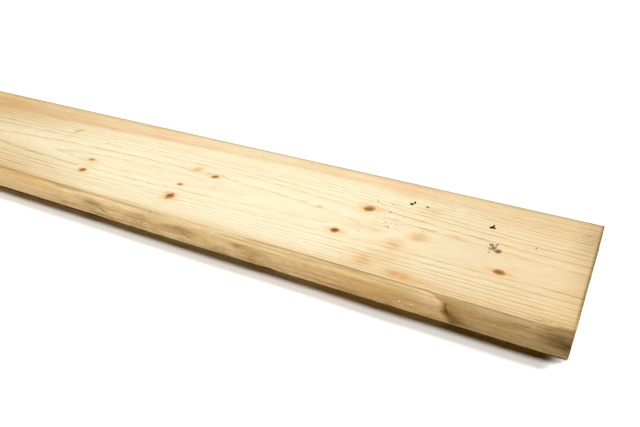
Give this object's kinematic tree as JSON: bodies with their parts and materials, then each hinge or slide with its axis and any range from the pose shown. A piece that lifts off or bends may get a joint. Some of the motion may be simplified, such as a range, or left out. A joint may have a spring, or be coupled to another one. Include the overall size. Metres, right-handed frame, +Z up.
{
  "type": "sawn timber plank",
  "caption": "Long flat sawn softwood plank with square ends, one square edge and one waney edge that ends in a rounded tongue with a hollow beside it.",
  "frame": {"origin": "centre of the face the plank lies on", "axes": "+X along the plank towards the end with the tongue, +Y across it towards the square edge, +Z up"},
  "size_m": [1.8, 0.15, 0.022],
  "materials": {
    "sawn_softwood": "matte"
  },
  "bodies": {
    "root": {"timber_plank": "sawn_softwood"}
  },
  "joints": []
}
